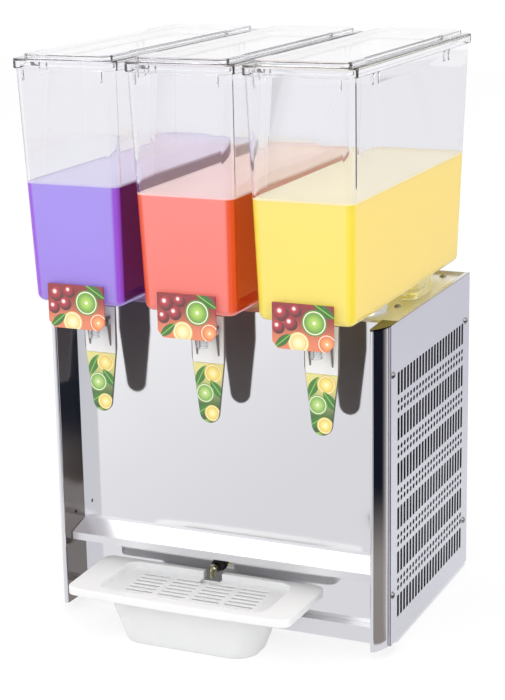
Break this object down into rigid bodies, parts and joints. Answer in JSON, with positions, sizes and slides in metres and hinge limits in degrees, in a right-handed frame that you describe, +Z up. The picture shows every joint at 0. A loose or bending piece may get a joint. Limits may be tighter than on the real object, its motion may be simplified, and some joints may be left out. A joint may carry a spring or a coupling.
{
  "type": "refrigerated juice dispenser",
  "caption": "Countertop chilled juice dispenser with clear lift-off tanks, push-lever taps, vented stainless cabinet and a slide-out drip tray",
  "frame": {"origin": "on the floor under the middle of the machine's box", "axes": "+Z up, +Y to the back, +X to the right of someone facing the taps"},
  "size_m": [0.446, 0.44, 0.705],
  "materials": {
    "polished_stainless": "polished stainless sheet",
    "satin_stainless": "satin drawn stainless",
    "chromed_screws": "polished",
    "pin_steel": "bright drawn wire",
    "black_rubber": "matte",
    "seal_rubber": "matte food-grade",
    "nozzle_plastic": "clear yellowish",
    "black_plastic": "satin",
    "compressor_paint": "gloss black",
    "aluminium_fins": "mill finish",
    "motor_casing": "zinc plated",
    "fan_plastic": "satin",
    "white_plastic": "smooth moulded",
    "white_fascia": "printed gloss",
    "lever_plastic": "dark grey moulded",
    "clear_tank": "clear moulded polycarbonate",
    "clear_lid": "clear moulded polycarbonate",
    "clear_tap": "clear moulded polycarbonate"
  },
  "bodies": {
    "cabinet": {"front_panel": "polished_stainless", "side_panels": "polished_stainless", "corner_posts": "polished_stainless", "back_panel": "polished_stainless", "top_deck": "polished_stainless", "ledge_trim": "polished_stainless", "base_pan": "satin_stainless", "dome_screws": "chromed_screws", "rubber_feet": "black_rubber", "cord_gland": "black_rubber", "drain_pipe": "black_rubber", "drain_nozzle": "nozzle_plastic", "switch_bezels": "black_plastic", "compressor": "compressor_paint", "condenser": "aluminium_fins", "motors": "motor_casing", "evaporators": "satin_stainless", "tank_gaskets": "seal_rubber"},
    "tank_left": {"tank_left": "clear_tank", "tank_feet_left": "clear_tank", "tap_housing_left": "clear_tap", "tap_fascia_left": "white_fascia", "lever_pin_left": "pin_steel", "plunger_spring_left": "pin_steel"},
    "lid_left": {"lid_left": "clear_lid"},
    "lever_left": {"tap_lever_left": "lever_plastic"},
    "plunger_left": {"tap_plunger_left": "white_plastic", "plunger_seal_left": "seal_rubber"},
    "stirrer_left": {"stirrer_left": "white_plastic", "stirrer_shaft_left": "pin_steel"},
    "tank_middle": {"tank_middle": "clear_tank", "tank_feet_middle": "clear_tank", "tap_housing_middle": "clear_tap", "tap_fascia_middle": "white_fascia", "lever_pin_middle": "pin_steel", "plunger_spring_middle": "pin_steel"},
    "lid_middle": {"lid_middle": "clear_lid"},
    "lever_middle": {"tap_lever_middle": "lever_plastic"},
    "plunger_middle": {"tap_plunger_middle": "white_plastic", "plunger_seal_middle": "seal_rubber"},
    "stirrer_middle": {"stirrer_middle": "white_plastic", "stirrer_shaft_middle": "pin_steel"},
    "tank_right": {"tank_right": "clear_tank", "tank_feet_right": "clear_tank", "tap_housing_right": "clear_tap", "tap_fascia_right": "white_fascia", "lever_pin_right": "pin_steel", "plunger_spring_right": "pin_steel"},
    "lid_right": {"lid_right": "clear_lid"},
    "lever_right": {"tap_lever_right": "lever_plastic"},
    "plunger_right": {"tap_plunger_right": "white_plastic", "plunger_seal_right": "seal_rubber"},
    "stirrer_right": {"stirrer_right": "white_plastic", "stirrer_shaft_right": "pin_steel"},
    "fan": {"fan_blade": "fan_plastic"},
    "drip_tray": {"drip_tray_basin": "white_plastic"},
    "tray_grille": {"drip_tray_grille": "white_plastic"},
    "rocker_stirring": {"rocker_stirring": "black_plastic"},
    "rocker_cooling": {"rocker_cooling": "black_plastic"},
    "knob": {"thermostat_knob": "black_plastic"}
  },
  "joints": [
    {"name": "tank_lift_left", "type": "slide", "parent": "cabinet", "child": "tank_left", "axis": [0, 0, 1], "range_m": [0, 0.16]},
    {"name": "lid_lift_left", "type": "slide", "parent": "tank_left", "child": "lid_left", "axis": [0, 0, 1], "range_m": [0, 0.1]},
    {"name": "lever_push_left", "type": "hinge", "parent": "tank_left", "child": "lever_left", "pos_m": [-0.143, -0.139, 0.384], "axis": [1, 0, 0], "range_deg": [0, 16], "stiffness_Nm_per_rad": 0.12},
    {"name": "valve_left", "type": "slide", "parent": "tank_left", "child": "plunger_left", "axis": [0, -1, 0], "range_m": [0, 0.004], "deforming": ["plunger_spring_left"]},
    {"name": "stir_left", "type": "hinge", "parent": "cabinet", "child": "stirrer_left", "pos_m": [-0.143, -0.028, 0.5], "axis": [0, 0, 1], "continuous": true},
    {"name": "tank_lift_middle", "type": "slide", "parent": "cabinet", "child": "tank_middle", "axis": [0, 0, 1], "range_m": [0, 0.16]},
    {"name": "lid_lift_middle", "type": "slide", "parent": "tank_middle", "child": "lid_middle", "axis": [0, 0, 1], "range_m": [0, 0.1]},
    {"name": "lever_push_middle", "type": "hinge", "parent": "tank_middle", "child": "lever_middle", "pos_m": [0, -0.139, 0.384], "axis": [1, 0, 0], "range_deg": [0, 16], "stiffness_Nm_per_rad": 0.12},
    {"name": "valve_middle", "type": "slide", "parent": "tank_middle", "child": "plunger_middle", "axis": [0, -1, 0], "range_m": [0, 0.004], "deforming": ["plunger_spring_middle"]},
    {"name": "stir_middle", "type": "hinge", "parent": "cabinet", "child": "stirrer_middle", "pos_m": [0, -0.028, 0.5], "axis": [0, 0, 1], "continuous": true},
    {"name": "tank_lift_right", "type": "slide", "parent": "cabinet", "child": "tank_right", "axis": [0, 0, 1], "range_m": [0, 0.16]},
    {"name": "lid_lift_right", "type": "slide", "parent": "tank_right", "child": "lid_right", "axis": [0, 0, 1], "range_m": [0, 0.1]},
    {"name": "lever_push_right", "type": "hinge", "parent": "tank_right", "child": "lever_right", "pos_m": [0.143, -0.139, 0.384], "axis": [1, 0, 0], "range_deg": [0, 16], "stiffness_Nm_per_rad": 0.12},
    {"name": "valve_right", "type": "slide", "parent": "tank_right", "child": "plunger_right", "axis": [0, -1, 0], "range_m": [0, 0.004], "deforming": ["plunger_spring_right"]},
    {"name": "stir_right", "type": "hinge", "parent": "cabinet", "child": "stirrer_right", "pos_m": [0.143, -0.028, 0.5], "axis": [0, 0, 1], "continuous": true},
    {"name": "fan_turn", "type": "hinge", "parent": "cabinet", "child": "fan", "pos_m": [0.1495, 0.055, 0.104], "axis": [1, 0, 0], "continuous": true},
    {"name": "tray_slide", "type": "slide", "parent": "cabinet", "child": "drip_tray", "axis": [0, -1, 0], "range_m": [0, 0.15]},
    {"name": "grille_lift", "type": "slide", "parent": "drip_tray", "child": "tray_grille", "axis": [0, 0, 1], "range_m": [0, 0.02]},
    {"name": "rocker_stirring_tilt", "type": "hinge", "parent": "cabinet", "child": "rocker_stirring", "pos_m": [0.04, 0.18, 0.35], "axis": [1, 0, 0], "range_deg": [-12, 12]},
    {"name": "rocker_cooling_tilt", "type": "hinge", "parent": "cabinet", "child": "rocker_cooling", "pos_m": [0.08, 0.18, 0.35], "axis": [1, 0, 0], "range_deg": [-12, 12]},
    {"name": "thermostat_turn", "type": "hinge", "parent": "cabinet", "child": "knob", "pos_m": [0.135, 0.19, 0.35], "axis": [0, 1, 0], "range_deg": [0, 270]}
  ],
  "couplings": [
    {"joint": "valve_left", "follows": "lever_push_left", "m_per_rad": 0.0142},
    {"joint": "valve_middle", "follows": "lever_push_middle", "m_per_rad": 0.0142},
    {"joint": "valve_right", "follows": "lever_push_right", "m_per_rad": 0.0142}
  ]
}
